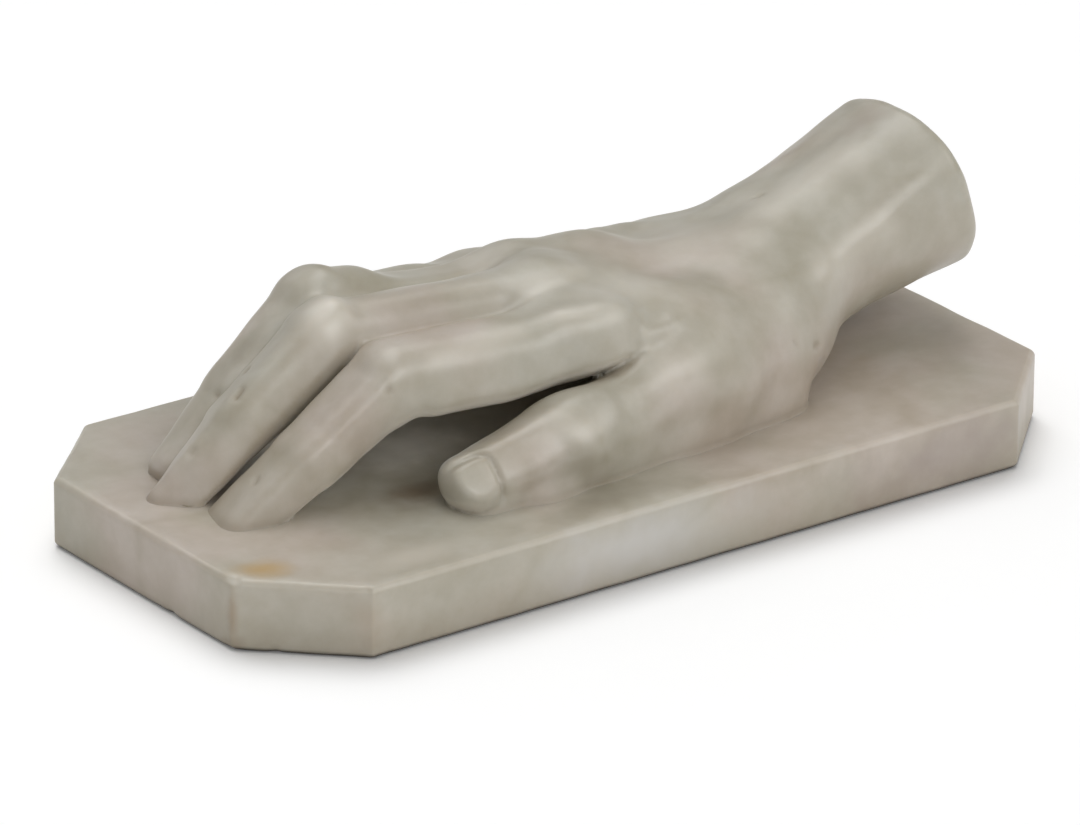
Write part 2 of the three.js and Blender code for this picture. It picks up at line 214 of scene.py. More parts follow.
def satin_marble(name, stains_and_painted_light):
    """Fine-grained marble rubbed to a satin sheen. The eye gets a soft stone that glows a little,
    with cloudy warm and cool greys, faint smoky veins, brown dirt and painted shade in the
    hollows, a dark painted shade at the foot, pale painted light and painted highlights, broad
    highlights and a barely pitted skin. Each entry of the second argument is a stain or a patch
    of painted light or shade: a middle and a half size in millimetres, a colour, and its share at
    the middle."""
    material = bpy.data.materials.new(name)
    material.use_nodes = True
    tree = material.node_tree
    shader = tree.nodes["Principled BSDF"]
    place = add(tree, "TexCoord", {}).outputs["Object"]
    clouds = add(tree, "TexNoise",
                 {"Vector": place, "Scale": per(CLOUDS), "Detail": 2.0, "Roughness": 0.45})
    mottle = add(tree, "TexNoise",
                 {"Vector": place, "Scale": per(MOTTLE), "Detail": 3.0, "Roughness": 0.5})
    smoke = add(tree, "TexNoise",
                {"Vector": place, "Scale": per(SMOKE), "Detail": 3.0, "Distortion": 0.9})
    grain = add(tree, "TexNoise",
                {"Vector": place, "Scale": per(GRAIN), "Detail": 4.0, "Roughness": 0.6})

    # A colour Mix node takes its colours at inputs 6 and 7, and gives the result at output 2.
    body = add(tree, "ValToRGB", {"Fac": clouds.outputs["Fac"]},
               ((0.38, "#b2aea1"), (0.5, "#b6b0a3"), (0.62, "#bab0a5"))).outputs["Color"]
    layers = (
        (mottle, 1.0, ((0.35, "#f1efea"), (0.65, "#ffffff"))),
        (smoke, 0.6, ((0.45, "#ffffff"), (0.5, "#f1efe9"), (0.55, "#ffffff"))),
        (grain, 0.7, ((0.3, "#f4f2ee"), (0.7, "#ffffff"))),
    )
    for pattern, share, stops in layers:
        shade = add(tree, "ValToRGB", {"Fac": pattern.outputs["Fac"]}, stops)
        body = add(tree, "Mix", {0: share, 6: body, 7: shade.outputs["Color"]},
                   data_type="RGBA", blend_type="MULTIPLY").outputs[2]

    for middle, half_size, colour, share in stains_and_painted_light:
        span = add(tree, "VectorMath", {0: place, 1: np.array(middle) * MM}, operation="SUBTRACT")
        span = add(tree, "VectorMath", {0: span.outputs[0], 1: np.array(half_size) * MM},
                   operation="DIVIDE")
        away = add(tree, "VectorMath", {0: span.outputs[0]}, operation="LENGTH")
        frayed = add(tree, "Math", {0: mottle.outputs["Fac"], 1: FRAY, 2: away.outputs["Value"]},
                     operation="MULTIPLY_ADD")
        patch = add(tree, "MapRange", {"Value": frayed.outputs[0], "From Min": 0.5,
                                       "From Max": 1.5, "To Min": share, "To Max": 0.0},
                    interpolation_type="SMOOTHSTEP")
        body = add(tree, "Mix", {0: patch.outputs["Result"], 6: body, 7: linear(colour)},
                   data_type="RGBA").outputs[2]

    # The first attribute below paints brown dirt and shade into the hollows, the second a dark
    # painted shade, the third pale painted light and painted highlights.
    hollow = add(tree, "Attribute", {}, attribute_name="hollow").outputs["Fac"]
    grime = add(tree, "Attribute", {}, attribute_name="grime").outputs["Fac"]
    crest = add(tree, "Attribute", {}, attribute_name="crest").outputs["Fac"]
    for share, colour in ((hollow, "#85745c"), (grime, "#3f3a32"), (crest, "#d6d0c4")):
        body = add(tree, "Mix", {0: share, 6: body, 7: linear(colour)},
                   data_type="RGBA").outputs[2]
    tree.links.new(body, shader.inputs["Base Color"])

    sheen = add(tree, "MapRange", {"Value": grain.outputs["Fac"], "To Min": 0.32, "To Max": 0.42})
    dull = add(tree, "Math", {0: hollow, 1: HOLLOW_DULLS, 2: sheen.outputs["Result"]},
               operation="MULTIPLY_ADD")
    tree.links.new(dull.outputs[0], shader.inputs["Roughness"])
    shader.inputs["IOR"].default_value = 1.5
    shader.inputs["Subsurface Weight"].default_value = 0.25
    shader.inputs["Subsurface Radius"].default_value = (1.0, 0.8, 0.6)
    shader.inputs["Subsurface Scale"].default_value = GLOW_DEPTH * MM
    shader.inputs["Specular IOR Level"].default_value = 0.8
    pitted = add(tree, "Bump", {"Height": grain.outputs["Fac"], "Strength": 0.25,
                                "Distance": PITTING * MM})
    tree.links.new(pitted.outputs["Normal"], shader.inputs["Normal"])
    return material


def piece(name, points, faces, material, **shares):
    """A smooth-shaded mesh from points in millimetres, with one attribute for each share."""
    mesh = bpy.data.meshes.new(name)
    mesh.from_pydata(points * MM, [], faces)
    mesh.shade_smooth()
    for share, values in shares.items():
        attribute = mesh.attributes.new(share, "FLOAT", "POINT")
        attribute.data.foreach_set("value", np.asarray(values, np.float32))
    mesh.materials.append(material)
    made = bpy.data.objects.new(name, mesh)
    bpy.context.scene.collection.objects.link(made)
    return made


# Real stains, and painted shadow, shade and light on the top of the plinth.
PLINTH_STAINS_AND_PAINTED_LIGHT = (
    ((-110.5, -36, 18), (12, 8.5, 3), "#b08d4e", 0.8),      # rust spot on the top, by the cant
    ((-119.6, -36.9, 10), (2.0, 2.6, 14), "#8d7455", 0.5),  # brown run down the end's corner
    ((-119.5, -36.5, 1), (4, 6, 4), "#7d6a50", 0.6),        # dirt at that corner's foot
    ((81, -17.3, 18), (7, 5, 3), "#a08f76", 0.4),           # tan patch behind the heel
    ((-97, -59, 10), (8, 4, 9), "#a89884", 0.4),            # corner of cant and front
    ((-18, -51, 18), (48, 9, 3), "#857c6b", 0.55),          # painted shadow of the thumb on the top
    ((-76, -50, 18), (24, 8, 3), "#c6bfb2", 0.6),           # paler strip at the front left
    ((-40, 4, 18), (26, 17, 3), "#ece7dc", 0.95),           # painted light: paler stone under the fingers, in the shade
    ((-56, -21, 18), (15, 11, 3), "#76634b", 0.75),         # brown painted shade before the thumb tip
    ((-20, -60, 9), (50, 5, 16), "#cac8c5", 0.7),           # cool pale middle of the front
    ((72, -60, 9), (44, 5, 16), "#9b8f88", 0.68),           # pinkish grey right of the front
)
# Painted shade: the plinth's faces are painted darker towards the foot.
FACE_SHADE = 0.22
# Painted shade: a dark band painted along the foot of the plinth, where its contact shadow falls.
PLINTH_FOOT_SHADE = 0.9
# Painted highlight: the upper eased edges are painted paler.
EDGE_HIGHLIGHT = 0.15
plinth = piece(
    "plinth_slab", slab, slab_faces.tolist(), satin_marble("satin_marble_plinth", PLINTH_STAINS_AND_PAINTED_LIGHT),
    hollow=eased(z, 1, 12, FACE_SHADE, 0), grime=PLINTH_FOOT_SHADE * eased(z, 0.3, 1.5, 1, 0),
    crest=EDGE_HIGHLIGHT * (near_edge > 0.1) * (z > PLINTH_TOP / 2))
welded = bmesh.new()
welded.from_mesh(plinth.data)
bmesh.ops.remove_doubles(welded, verts=welded.verts, dist=WELD * MM)
welded.to_mesh(plinth.data)
welded.free()
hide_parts("plinth")
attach(plinth, "root")


# Dowels: two short pins of plain drawn steel, set in resin in blind holes between the plinth and
# the hand, one under the heel and one under the thumb. Nothing of them shows.

# Drawn steel is a bright grey metal with fine streaks along the pin, left by the die. The
# streaks are drawn 0.4 mm wide, far coarser than real ones, so that they could show.
STREAK_WIDTH = 0.4
STREAK_LENGTH = 12
steel = bpy.data.materials.new("drawn_steel")
steel.use_nodes = True
tree = steel.node_tree
shader = tree.nodes["Principled BSDF"]
place = add(tree, "TexCoord", {}).outputs["Object"]
streaked = add(tree, "Mapping", {"Vector": place, "Scale": (
    per(STREAK_WIDTH), per(STREAK_WIDTH), per(STREAK_LENGTH))})
drawn = add(tree, "TexNoise", {"Vector": streaked.outputs["Vector"], "Scale": 1.0, "Detail": 2.0})
polish = add(tree, "MapRange", {"Value": drawn.outputs["Fac"], "To Min": 0.28, "To Max": 0.45})
tree.links.new(polish.outputs["Result"], shader.inputs["Roughness"])
shader.inputs["Base Color"].default_value = linear("#a9abad")
shader.inputs["Metallic"].default_value = 1.0
for node in bpy.data.objects:
    if node.type == "MESH" and node.name.startswith("dowel_"):
        for slot in node.material_slots:
            slot.material = steel


# Beds: seven thin pads of stone-filled resin, squeezed flat under the heel, the thumb, the outer
# palm and the four fingertips. The hand hides them, apart from a hairline at its foot.

# Resin filled with marble dust is a dull putty colour with a faint mottle. The dust is drawn as
# 1.2 mm specks, coarser than it is, so that it could show.
FILLER = 1.2
resin = bpy.data.materials.new("filled_resin")
resin.use_nodes = True
tree = resin.node_tree
shader = tree.nodes["Principled BSDF"]
place = add(tree, "TexCoord", {}).outputs["Object"]
filler = add(tree, "TexNoise", {"Vector": place, "Scale": per(FILLER), "Detail": 3.0})
tint = add(tree, "ValToRGB", {"Fac": filler.outputs["Fac"]},
           ((0.35, "#9c927f"), (0.65, "#b0a793")))
tree.links.new(tint.outputs["Color"], shader.inputs["Base Color"])
shader.inputs["Roughness"].default_value = 0.55
for node in bpy.data.objects:
    if node.type == "MESH" and node.name.startswith("resin_bed_"):
        for slot in node.material_slots:
            slot.material = resin


# Hand: one carving in the same marble, a right hand laid palm down. It is bedded where fingertips,
# thumb, heel and outer palm bear on the plinth, and pinned at thumb and heel. Its form is a field
# of distances to limbs that flow into each other, and its skin is where that field is zero.

def joint(x, y, height, half_width, half_thickness):
    """A place in millimetres above the plinth's top, and the half size of the limb there."""
    return np.array([x, y, height, half_width, half_thickness])


def smooth_union(first, second, reach):
    """The lower of two distances, less a fillet: reach / 4 times (1 - gap / reach) squared,
    where gap is the difference between them and counts up to reach."""
    overlap = np.maximum(reach - np.abs(first - second), 0.0)
    return np.minimum(first, second) - overlap ** 2 / (4 * reach)


def smooth_cut(body, tool, reach):
    """The body less the tool, with a fillet of that reach along the cut."""
    return -smooth_union(-body, tool, reach)


def creased(first, second, reach, depth, width):
    """The smooth union of two distances, with a crease along the line where they are equal: depth
    times exp(-(gap / width) ** 2) is added, where gap is the difference between them."""
    return smooth_union(first, second, reach) + depth * np.exp(-((first - second) / width) ** 2)


def limb(points, start, end, dorsal, power):
    """Distance to a tapered limb with rounded ends. Its skin is where (across / width) ** power +
    (over / thickness) ** power + (beyond / cap) ** power = 1, with beyond the length past an end.
    The level of that sum is divided by the length of its slope to give millimetres."""
    axis = end[:3] - start[:3]
    length = np.linalg.norm(axis)
    axis = axis / length
    over = np.array(dorsal, float)
    over = over - axis * (over @ axis)
    over = over / np.linalg.norm(over)
    across = np.cross(over, axis)
    from_start = points - start[:3]
    along = from_start @ axis
    share = np.clip(along / length, 0, 1)
    width = start[3] + (end[3] - start[3]) * share
    thickness = start[4] + (end[4] - start[4]) * share
    cap = (width + thickness) / 2
    u = np.abs(from_start @ across) / width
    v = np.abs(from_start @ over) / thickness
    t = np.abs(along - share * length) / cap
    level = np.maximum((u ** power + v ** power + t ** power) ** (1 / power), 1e-4)
    parts = ((u, width), (v, thickness), (t, cap))
    slope = np.sqrt(sum(((part / level) ** (power - 1) / size) ** 2 for part, size in parts))
    return (level - 1) / np.maximum(slope, 1e-3)


def chain(points, joints, dorsal, power, reach):
    """Limbs end to end through a row of joints, flowing into each other over that reach."""
    whole = limb(points, joints[0], joints[1], dorsal, power)
    for start, end in zip(joints[1:-1], joints[2:]):
        whole = smooth_union(whole, limb(points, start, end, dorsal, power), reach)
    return whole


def stroke(points, path, radius):
    """The trace of a rasp along a path: 1 on it, falling as exp(-(distance / radius) ** 2)."""
    nearest = np.full(points.shape[:-1], np.inf)
    for start, end in zip(path[:-1], path[1:]):
        start, run = np.array(start, float), np.subtract(end, start).astype(float)
        share = np.clip((points - start) @ run / (run @ run), 0, 1)
        nearest = np.minimum(nearest, ((points - start - share[..., None] * run) ** 2).sum(-1))
    return np.exp(-nearest / radius ** 2)


NAIL_MIDDLE = (-52, -40.5, 8.5)
NAIL_TOWARDS_TIP = (-1, 0, -0.1)
NAIL_OUT = (-0.15, -0.75, 0.65)
NAIL_HALF_LENGTH = 6.2
NAIL_HALF_WIDTH = 6.6
NAIL_CORNER = 0.45 * NAIL_HALF_WIDTH
NAIL_GROOVE = 0.8
NAIL_DEPTH = 1.0


def nail_fold(points):
    """A groove round the thumb's nail: exp(-(edge / groove) ** 2) on the outline of a rounded
    rectangle laid on the thumb, open at its tip and only on the side that faces out."""
    out = np.array(NAIL_OUT, float) / np.linalg.norm(NAIL_OUT)
    along = np.array(NAIL_TOWARDS_TIP, float)
    along = along - out * (along @ out)
    along = along / np.linalg.norm(along)
    local = points - np.array(NAIL_MIDDLE, float)
    u = local @ along
    v = np.abs(local @ np.cross(out, along))
    past_u = np.abs(u) - NAIL_HALF_LENGTH + NAIL_CORNER
    past_v = v - NAIL_HALF_WIDTH + NAIL_CORNER
    edge = np.hypot(np.maximum(past_u, 0), np.maximum(past_v, 0)) - NAIL_CORNER
    edge = edge + np.minimum(np.maximum(past_u, past_v), 0)
    open_end = eased(u, 0.35 * NAIL_HALF_LENGTH, 0.8 * NAIL_HALF_LENGTH, 1, 0)
    facing = eased(local @ out, -NAIL_HALF_WIDTH, -0.4 * NAIL_HALF_WIDTH, 0, 1)
    return np.exp(-(edge / NAIL_GROOVE) ** 2) * open_end * facing


# Joints from the carpus and knuckle to the fingertip, in millimetres above the plinth's top.
UP = (0, 0, 1)
FINGERS = {
    "index": (joint(50, -8, 21.6, 11, 10.5), joint(-6, -20, 27.2, 10.8, 9.4),
              joint(-56, -12.5, 26.8, 10, 9.2), joint(-79, -11, 12.4, 8.8, 6.8),
              joint(-97, -7.8, -1, 8.6, 5.4)),
    "middle": (joint(52, 2, 21.8, 11, 11), joint(-5, 0, 28.6, 10.4, 10.4),
               joint(-62, 7, 31, 9.9, 9.4), joint(-85, 8.2, 15.8, 8.6, 7.2),
               joint(-104.4, 8.2, 0.6, 7.0, 5.2)),
    "ring": (joint(52, 11, 20.3, 11, 11), joint(-4, 19.5, 24.2, 10, 9.6),
             joint(-54, 24, 31.8, 9.4, 8.9), joint(-76.3, 22.5, 16.2, 8.6, 7.2),
             joint(-94, 21.5, 1.6, 7.2, 6.0)),
    "little": (joint(50, 20, 16.4, 11, 11), joint(3, 37, 18.6, 9.4, 9.2),
               joint(-35, 40, 21, 8.5, 8.1), joint(-53, 38.5, 12, 7.5, 6.4),
               joint(-68, 37, 0.8, 6.2, 4.6)),
}
FINGER_LEAN = {"index": (0, 0.05, 1), "middle": (0, 0.35, 1),
               "ring": (0, 0.15, 1), "little": (0, 0.3, 1)}
KNUCKLE_SHIFT = {"index": 0.28, "middle": 0.0, "ring": 0.0, "little": 0.1}
MIDDLE_END = np.array([-0.687, -0.592, 0.42])
MIDDLE_END_AT = 69.6
THUMB = (joint(52, -14, 15, 15, 13), joint(22, -25.2, 16, 13.8, 12.3),
         joint(-18, -33.3, 9.8, 10.1, 9.8))
THUMB_DORSAL = (-0.12, -0.88, 0.46)
THUMB_TIP = joint(-49, -34.2, 6.6, 6.3, 8.3)
THUMB_TIP_DORSAL = (0, -1, 0.2)
NAIL_PLANE = np.array([-0.15, -0.75, 0.64])
NAIL_PLANE_AT = 42.9
SKIRT = (joint(39, -19.5, 0, 17, 7), joint(15, -26, 0, 13, 10), joint(-8, -29.5, 0, 10.8, 8),
         joint(-31, -34, 0, 9.0, 5), joint(-46, -34.3, 0, 7.4, 4))
THENAR = (joint(44, -18, 12, 15, 14), joint(28, -22, 12, 14, 13))
HYPOTHENAR = (joint(48, 22, 11, 13, 13), joint(12, 36, 9, 12, 11))
HEEL = (joint(52, -10, 13, 13, 14), joint(50, 22, 11.5, 13, 13))
HOLLOW = (joint(-20, 4.2, 0, 16, 11), joint(22, 4.2, 0, 16, 11))
WRIST = (joint(52, 6, 17.2, 26, 15.3), joint(66, 5, 18.6, 24.5, 16.7))
FOREARM_AXIS = np.array([47, -1, 15.6]) / np.linalg.norm([47, -1, 15.6])
FOREARM_LEAN = (0, 0.2, 1)
FOREARM_LENGTH = 90.0
FOREARM = (WRIST[1], joint(*(WRIST[1][:3] + FOREARM_AXIS * FOREARM_LENGTH), 27, 28))
STUB_LENGTH = 49.8
STUB_RIM = 4.0
FOOT_FILLET = (1.2, 2.2)
FOOT_SINK = 0.6
RASP_DEPTH = 0.12

# How square each form's section is: 2 is an ellipse, and more is squarer.
SECTION = {"palm": 2.0, "forearm": 2.35, "finger": 2.4, "thumb": 2.3, "thumb tip": 2.5,
           "skirt": 3.0, "hollow": 6}
DISTAL_SECTION = {"index": 3.2, "middle": 3.2, "ring": 2.9, "little": 2.9}

# How far, in millimetres, each form flows into the ones before it.
FLOW = {"metacarpal": 10, "muscle": 12, "forearm": 8, "end joint": 0.6, "bent joint": 1.6,
        "middle end": 2.5, "fingers": 7, "thumb joint": 5, "nail": 1.5, "thumb tip": 4,
        "skirt joint": 6, "skirt": 4, "hollow": 4}
FINGER_CRACK = 1.5
THUMB_CRACK = 1.6

# Each mark is a path and a radius in millimetres, and how far the stone swells there or sinks.
MARKS = (
    (((65.3, -2.9, 40), (77.3, -3.4, 44.2), (91.2, -7.6, 49.5)), 9.0, 1.2),  # tendon on the wrist
    (((66.4, -22.3, 29.1), (83.8, -20.1, 35.3), (97, -18.9, 43)), 6.5, 1.5),  # wrist, thumb side
    (((81, -10.5, 42.2), (95.3, -13, 46.9)), 6.0, -0.8),  # dip between those two
    (((106, -17, 47), (107, -21, 44)), 7.0, 0.8),  # stub, thumb side
    (((25.7, -9, 34.3), (32.3, -17.3, 33.7), (40.9, -22.4, 32)), 9.0, -1.4),  # over the thumb root
    (((3, 18, 36), (20, 17, 36)), 12.0, 3.5),  # back, behind the ring knuckle
    (((40, 15, 36), (52, 10, 38)), 10.0, -2.6),  # back, before the wrist
    (((45, 25.7, 31), (55, 22.3, 32.7)), 8.0, -1.5),  # outer side, before the wrist
    (((69, 17.4, 36.7), (77, 18.6, 38.1)), 7.0, 0.9),  # outer wrist bone
    (((-5, 39.8, 28.4), (3, 37.5, 29.6)), 7.0, -1.3),  # little knuckle
    (((-50, 24, 39.5), (-42, 24, 39.5)), 6.0, 0.9),  # ring finger's bent joint
    (((33, 25, 31), (40, 26, 31)), 7.0, 1.6),  # outer back
    (((-17, 37, 27), (-11, 39, 27.5)), 6.0, 0.5),  # little finger
    (((-30, 23, 38.5), (-9, 20, 38)), 8.0, -2.6),  # ring finger, behind its bent joint
    (((-16, -24.7, 36.9), (-11.4, -27.6, 36.9), (2, -29, 36)), 5.5, 1.4),  # index knuckle, front
    (((-13.9, -9.1, 38), (-7.2, -10, 38.8), (9, -8, 38)), 6.0, 1.1),  # index knuckle, inner
    (((-50, -22.8, 21.5), (-44.2, -23.3, 21.9), (-35.9, -25.1, 22), (-22, -26, 20.5)),
     5.0, 2.0),  # index finger, full lower side
    (((-69, -20.9, 15), (-63.3, -20.9, 16.6)), 5.0, -1.4),  # index finger, under its bent joint
    (((5, -31.5, 29.4), (12, -31, 30.9)), 2.6, 0.8),  # web between index finger and thumb
    (((6, -38.3, 20.3), (12, -38.8, 20.8)), 6.0, 1.4),  # thumb knuckle
    (((-26, -40, 17.5), (-21, -43.5, 14)), 6.5, 0.9),  # thumb's end joint
    (((-44, -42.5, 3.5), (-30, -43.5, 4)), 4.5, -0.9),  # thumb, low on its outer side
    (((-57, -41.5, 10), (-47.5, -42, 10.3)), 1.4, 0.45),  # ridge along the nail
)

# Each pit is a path, a radius and a depth in millimetres, and the share of dirt in it.
PITS = (
    (((-86.6, 6.6, 24.6), (-88.4, 6.2, 23.2)), 0.9, 1.0, 0.6),  # middle finger, the largest
    (((-80.4, 12.6, 26.5), (-81.2, 12.8, 26)), 0.8, 0.6, 0.35),  # middle finger, ring side
    (((-84.3, 19.8, 18.6), (-84.7, 19.7, 18.2)), 0.8, 0.6, 0.4),  # ring finger
    (((-99.8, 7.8, 12.2), (-100.3, 7.8, 11.4)), 0.8, 0.6, 0.25),  # middle fingertip
    (((-93.2, -8.6, 9.2), (-93.9, -9.6, 8.4)), 0.8, 0.6, 0.35),  # index fingertip
    (((-63.4, -21, 28.3), (-63.6, -21, 27.9)), 0.8, 0.5, 0.35),  # index finger's bent joint
    (((47, -33, 18), (47.4, -33, 17.6)), 0.8, 0.5, 0.3),  # heel, thumb side
    (((55, -31.5, 14.4), (56, -31, 14)), 0.8, 0.6, 0.25),  # heel, by the wrist
    (((66, 6, 38.5), (67, 5, 38.7)), 0.8, 0.6, 0.2),  # top of the wrist
)

# Each painted highlight is a path and a radius in millimetres, and its share of pale stone painted
# on.
PAINTED_HIGHLIGHTS = (
    (((-66, 2, 38.5), (-63, 5.8, 41)), 5.5, 0.75),  # middle finger's bent joint
    (((-50, -21.7, 33.5), (-28, -23, 35.3)), 2.6, 0.35),  # index finger's upper edge
    (((-16, -24.7, 36.9), (-11.4, -27.6, 36.9), (-4.4, -28.9, 36.7)), 4.0, 0.35),  # index knuckle
    (((-13.9, -9.1, 38), (-7.2, -10, 38.8), (1.1, -8, 38.7)), 4.0, 0.35),  # its inner side
    (((6, -38.3, 20.3), (12, -38.8, 20.8)), 5.0, 0.35),  # thumb knuckle
    (((-27.8, -38.4, 18.5), (-22.5, -42.9, 15.6)), 4.0, 0.35),  # thumb's end joint
    (((66.4, -22.3, 29.1), (83.8, -20.1, 35.3)), 5.0, 0.35),  # wrist, thumb side
    (((63.2, 2.2, 39.4), (86.3, -4.7, 48.4)), 6.0, 0.35),  # tendon on the wrist
    (((0, -19, 36.5), (12, -16, 36)), 8.0, 0.4),  # back, behind the index knuckle
    (((38, -4, 36), (46, -1, 36)), 9.0, 0.2),  # back, before the wrist
)


def hand_distance(points):
    """Distance to the whole hand, negative inside the marble: the smooth union of palm, forearm,
    fingers and thumb, less the hollow under the palm, with each mark, pit and nail groove added,
    two crossed sine waves for the rasp, and a small fillet where it meets the plinth."""
    x, y, z = np.moveaxis(points, -1, 0)
    palm = limb(points, *FINGERS["index"][:2], UP, SECTION["palm"])
    for name in ("middle", "ring", "little"):
        palm = smooth_union(palm, limb(points, *FINGERS[name][:2], UP, SECTION["palm"]),
                            FLOW["metacarpal"])
    for muscle in (THENAR, HYPOTHENAR, HEEL, WRIST):
        palm = smooth_union(palm, limb(points, *muscle, UP, SECTION["palm"]), FLOW["muscle"])
    forearm = limb(points, *FOREARM, FOREARM_LEAN, SECTION["forearm"])
    sawn = (points - WRIST[1][:3]) @ FOREARM_AXIS - STUB_LENGTH
    forearm = smooth_cut(forearm, -sawn, STUB_RIM)
    palm = smooth_union(palm, forearm, FLOW["forearm"])

    # Between index and middle finger the web opens past the bent joints into a narrow slit, which
    # closes again at the plinth.
    webbing = {"middle": eased(x, -74, -60, 0.3, 3.5) + eased(x, -94, -80, 3.5, 0),
               "ring": eased(x, -76, -56, 0.8, 4), "little": 2.0}
    crack = {"middle": 3.2 * eased(x, -67, -58, 1, 0) * eased(x, -94, -76, 0.3, 1),
             "ring": 0.0, "little": 0.0}
    together = None
    for name, joints in FINGERS.items():
        lean = FINGER_LEAN[name]
        bent = joints[2] + KNUCKLE_SHIFT[name] * (joints[3] - joints[2])
        finger = limb(points, *joints[1:3], lean, SECTION["finger"])
        outer = chain(points, (bent, *joints[3:]), lean, DISTAL_SECTION[name], FLOW["end joint"])
        finger = smooth_union(finger, outer, FLOW["bent joint"])
        if name == "middle":
            finger = smooth_cut(finger, MIDDLE_END_AT - points @ MIDDLE_END, FLOW["middle end"])
        if together is None:
            together = finger
        else:
            together = creased(together, finger, webbing[name], crack[name], FINGER_CRACK)
    whole = smooth_union(palm, together, FLOW["fingers"])

    # The thumb flows into the palm at its root, and lies apart from it by a crease further out.
    thumb = chain(points, THUMB, THUMB_DORSAL, SECTION["thumb"], FLOW["thumb joint"])
    tip = limb(points, THUMB[-1], THUMB_TIP, THUMB_TIP_DORSAL, SECTION["thumb tip"])
    tip = smooth_cut(tip, NAIL_PLANE_AT - points @ NAIL_PLANE, FLOW["nail"])
    thumb = smooth_union(thumb, tip, FLOW["thumb tip"])
    skirt = chain(points, SKIRT, UP, SECTION["skirt"], FLOW["skirt joint"])
    thumb = smooth_union(thumb, skirt, FLOW["skirt"])
    whole = creased(whole, thumb, eased(x, -10, 12, 0.9, 12), eased(x, -9, 4, 4.2, 0), THUMB_CRACK)
    whole = smooth_cut(whole, limb(points, *HOLLOW, UP, SECTION["hollow"]), FLOW["hollow"])

    for path, radius, rise in MARKS:
        whole = whole - rise * stroke(points, path, radius)
    for path, radius, depth, _ in PITS:
        whole = whole + depth * stroke(points, path, radius)
    whole = whole + NAIL_DEPTH * nail_fold(points)
    rasp = np.sin(x / 2.9 + y / 4.3) * np.sin(z / 3.1 - y / 5.2)
    rasp = rasp + np.sin(x / 6.1 - z / 4.7) * np.sin(y / 5.5 + x / 9.7)
    whole = whole + RASP_DEPTH * rasp
    fillet = eased(x, -75, -45, *FOOT_FILLET)
    foot = smooth_union(whole, z + FOOT_SINK, fillet)
    foot = np.maximum(foot, whole - fillet)
    return np.maximum(foot, -1.5 * FOOT_SINK - z)


def stretched(coarse, axis, factor):
    """The array with factor steps for each step along an axis, filled in on straight lines."""
    last = coarse.shape[axis] - 1
    place = np.arange(last * factor + 1) / factor
    low = np.minimum(place.astype(int), last - 1)
    shape = [1, 1, 1]
    shape[axis] = -1
    share = (place - low).reshape(shape)
    return np.take(coarse, low, axis) * (1 - share) + np.take(coarse, low + 1, axis) * share


SKIN_STEP = 0.85
COARSE_STEPS = 4
SKIN_BAND = 3.0
SKIN_BATCHES = 16


def skin(distance, low, high):
    """The zero level of a field as quads. The field is sampled on a coarse grid, then on a fine
    one wherever the coarse values are near zero. Each fine cell that the level crosses holds one
    vertex, at the mean of its edge crossings, and each crossed edge joins four of them."""
    counts = np.ceil((high - low) / (SKIN_STEP * COARSE_STEPS)).astype(int)
    axes = [low[a] + SKIN_STEP * COARSE_STEPS * np.arange(counts[a] + 1) for a in range(3)]
    values = distance(np.stack(np.meshgrid(*axes, indexing="ij"), -1))
    for axis in range(3):
        values = stretched(values, axis, COARSE_STEPS)
    near = np.argwhere(np.abs(values) < SKIN_BAND)
    for part in np.array_split(near, SKIN_BATCHES):
        values[tuple(part.T)] = distance(low + SKIN_STEP * part)
    inside = values < 0
    cells = np.array(values.shape) - 1

    def corner(array, offset):
        """The array's value at one corner of every cell."""
        return array[tuple(slice(o, o + c) for o, c in zip(offset, cells))]

    offsets = [(i, j, k) for i in (0, 1) for j in (0, 1) for k in (0, 1)]
    full = sum(corner(inside, offset).astype(int) for offset in offsets)
    crossed = (full > 0) & (full < len(offsets))
    number = np.full(cells, -1)
    number[crossed] = np.arange(crossed.sum())
    total = np.zeros((crossed.sum(), 3))
    hits = np.zeros(crossed.sum())
    for offset in offsets:
        for axis in range(3):
            if offset[axis]:
                continue
            step = np.eye(3, dtype=int)[axis]
            first = corner(values, offset)[crossed]
            second = corner(values, offset + step)[crossed]
            hit = (first < 0) != (second < 0)
            share = np.where(hit, first / np.where(hit, first - second, 1), 0)
            total += (np.array(offset) + step * share[:, None]) * hit[:, None]
            hits += hit
    points = low + SKIN_STEP * (np.argwhere(crossed) + total / hits[:, None])
    faces = []
    for axis in range(3):
        span = [slice(1, cells[a]) for a in range(3)]
        span[axis] = slice(0, cells[axis])
        ahead = list(span)
        ahead[axis] = slice(1, cells[axis] + 1)
        here, there = inside[tuple(span)], inside[tuple(ahead)]
        b, c = (axis + 1) % 3, (axis + 2) % 3
        around = []
        for back_b, back_c in ((1, 1), (0, 1), (0, 0), (1, 0)):
            pick = list(span)
            pick[b] = slice(1 - back_b, cells[b] - back_b)
            pick[c] = slice(1 - back_c, cells[c] - back_c)
            around.append(number[tuple(pick)])
        around = np.stack(around, -1)
        faces.append(around[here & ~there])
        faces.append(around[~here & there][:, ::-1])
    return points, np.concatenate(faces)


def slope_of(distance, points, step=0.05):
    """The field's value and its gradient, by forward differences."""
    value = distance(points)
    gradient = [(distance(points + step * direction) - value) / step for direction in np.eye(3)]
    return value, np.stack(gradient, -1)


def settled(distance, points, rounds=2):
    """The points moved on to the zero level by Newton steps along the gradient."""
    for _ in range(rounds):
        value, gradient = slope_of(distance, points)
        steepness = np.maximum((gradient ** 2).sum(-1), 0.25)
        points = points - gradient * (value / steepness)[:, None]
    return points


